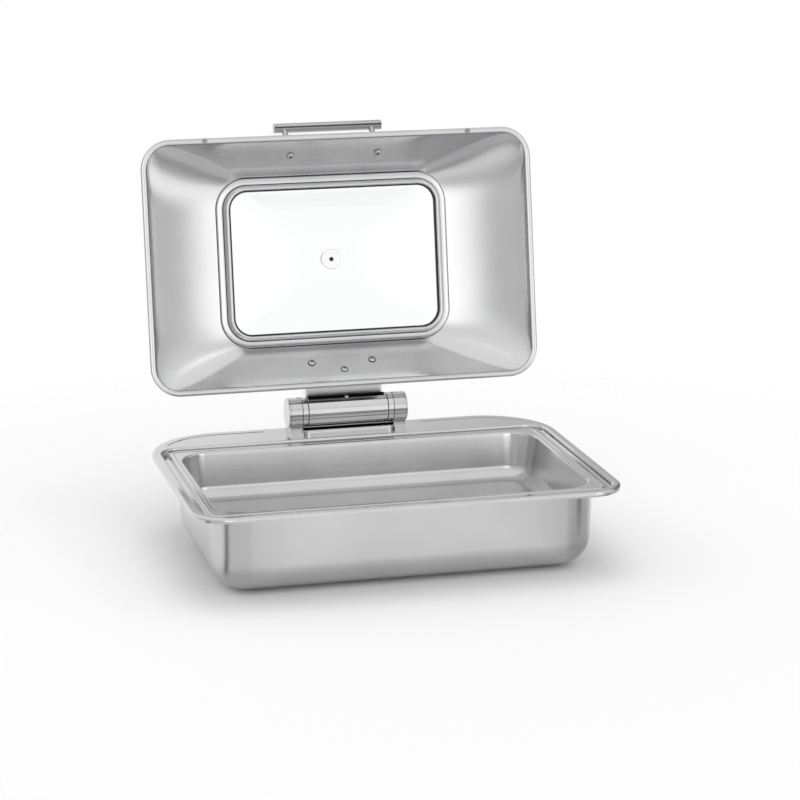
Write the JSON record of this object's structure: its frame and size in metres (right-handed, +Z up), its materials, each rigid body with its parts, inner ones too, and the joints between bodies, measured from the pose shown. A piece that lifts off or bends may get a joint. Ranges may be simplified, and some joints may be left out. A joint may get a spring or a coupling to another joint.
{
  "type": "chafing dish",
  "caption": "Countertop chafing dish: deep water pan with an induction base, lift-out food pan and a domed steel lid with a glass window on a rear barrel hinge.",
  "frame": {"origin": "middle of the induction plate's underside, under the middle of the food pan", "axes": "+X to the right along the long side, +Y towards the hinge at the back, +Z up"},
  "size_m": [0.577, 0.5097, 0.5454],
  "materials": {
    "body_steel": "satin",
    "pan_steel": "satin",
    "lid_steel": "fine satin",
    "frame_steel": "semi-polished",
    "handle_steel": "brushed along its length",
    "polished_steel": "polished",
    "plate_steel": "plain",
    "bronze": "plain",
    "silicone": "matt",
    "window_glass": "clear"
  },
  "bodies": {
    "base": {"water_pan": "body_steel", "induction_plate": "plate_steel", "hinge_foot": "polished_steel", "hinge_pin": "polished_steel", "friction_rings": "polished_steel", "disc_springs": "plate_steel", "hinge_nuts": "polished_steel", "hinge_end_caps": "polished_steel", "pin_grub_screws": "polished_steel", "hinge_foot_screws": "polished_steel", "hinge_backing_plate": "plate_steel", "hinge_foot_nuts": "polished_steel"},
    "food_pan": {"food_pan": "pan_steel"},
    "lid": {"hinge_barrel": "polished_steel", "hinge_bushes": "bronze", "lid_bracket": "polished_steel", "barrel_plug_screw": "polished_steel", "lid_bracket_screws": "polished_steel", "lid_shell": "lid_steel", "window_frame": "frame_steel", "window_gasket": "silicone", "window_glass": "window_glass", "hub_cap": "polished_steel", "hub_seals": "silicone", "hub_disc": "frame_steel", "hub_screw": "polished_steel", "handle_bar": "handle_steel", "handle_posts": "handle_steel", "handle_washers": "silicone", "handle_screws": "polished_steel", "lid_bumpers": "silicone"}
  },
  "joints": [
    {"name": "lid_hinge", "type": "hinge", "parent": "base", "child": "lid", "pos_m": [0, 0.212, 0.1497], "axis": [1, 0, 0], "range_deg": [0, 99.4]},
    {"name": "food_pan_lift", "type": "slide", "parent": "base", "child": "food_pan", "axis": [0, 0, 1], "range_m": [0, 0.3]}
  ]
}
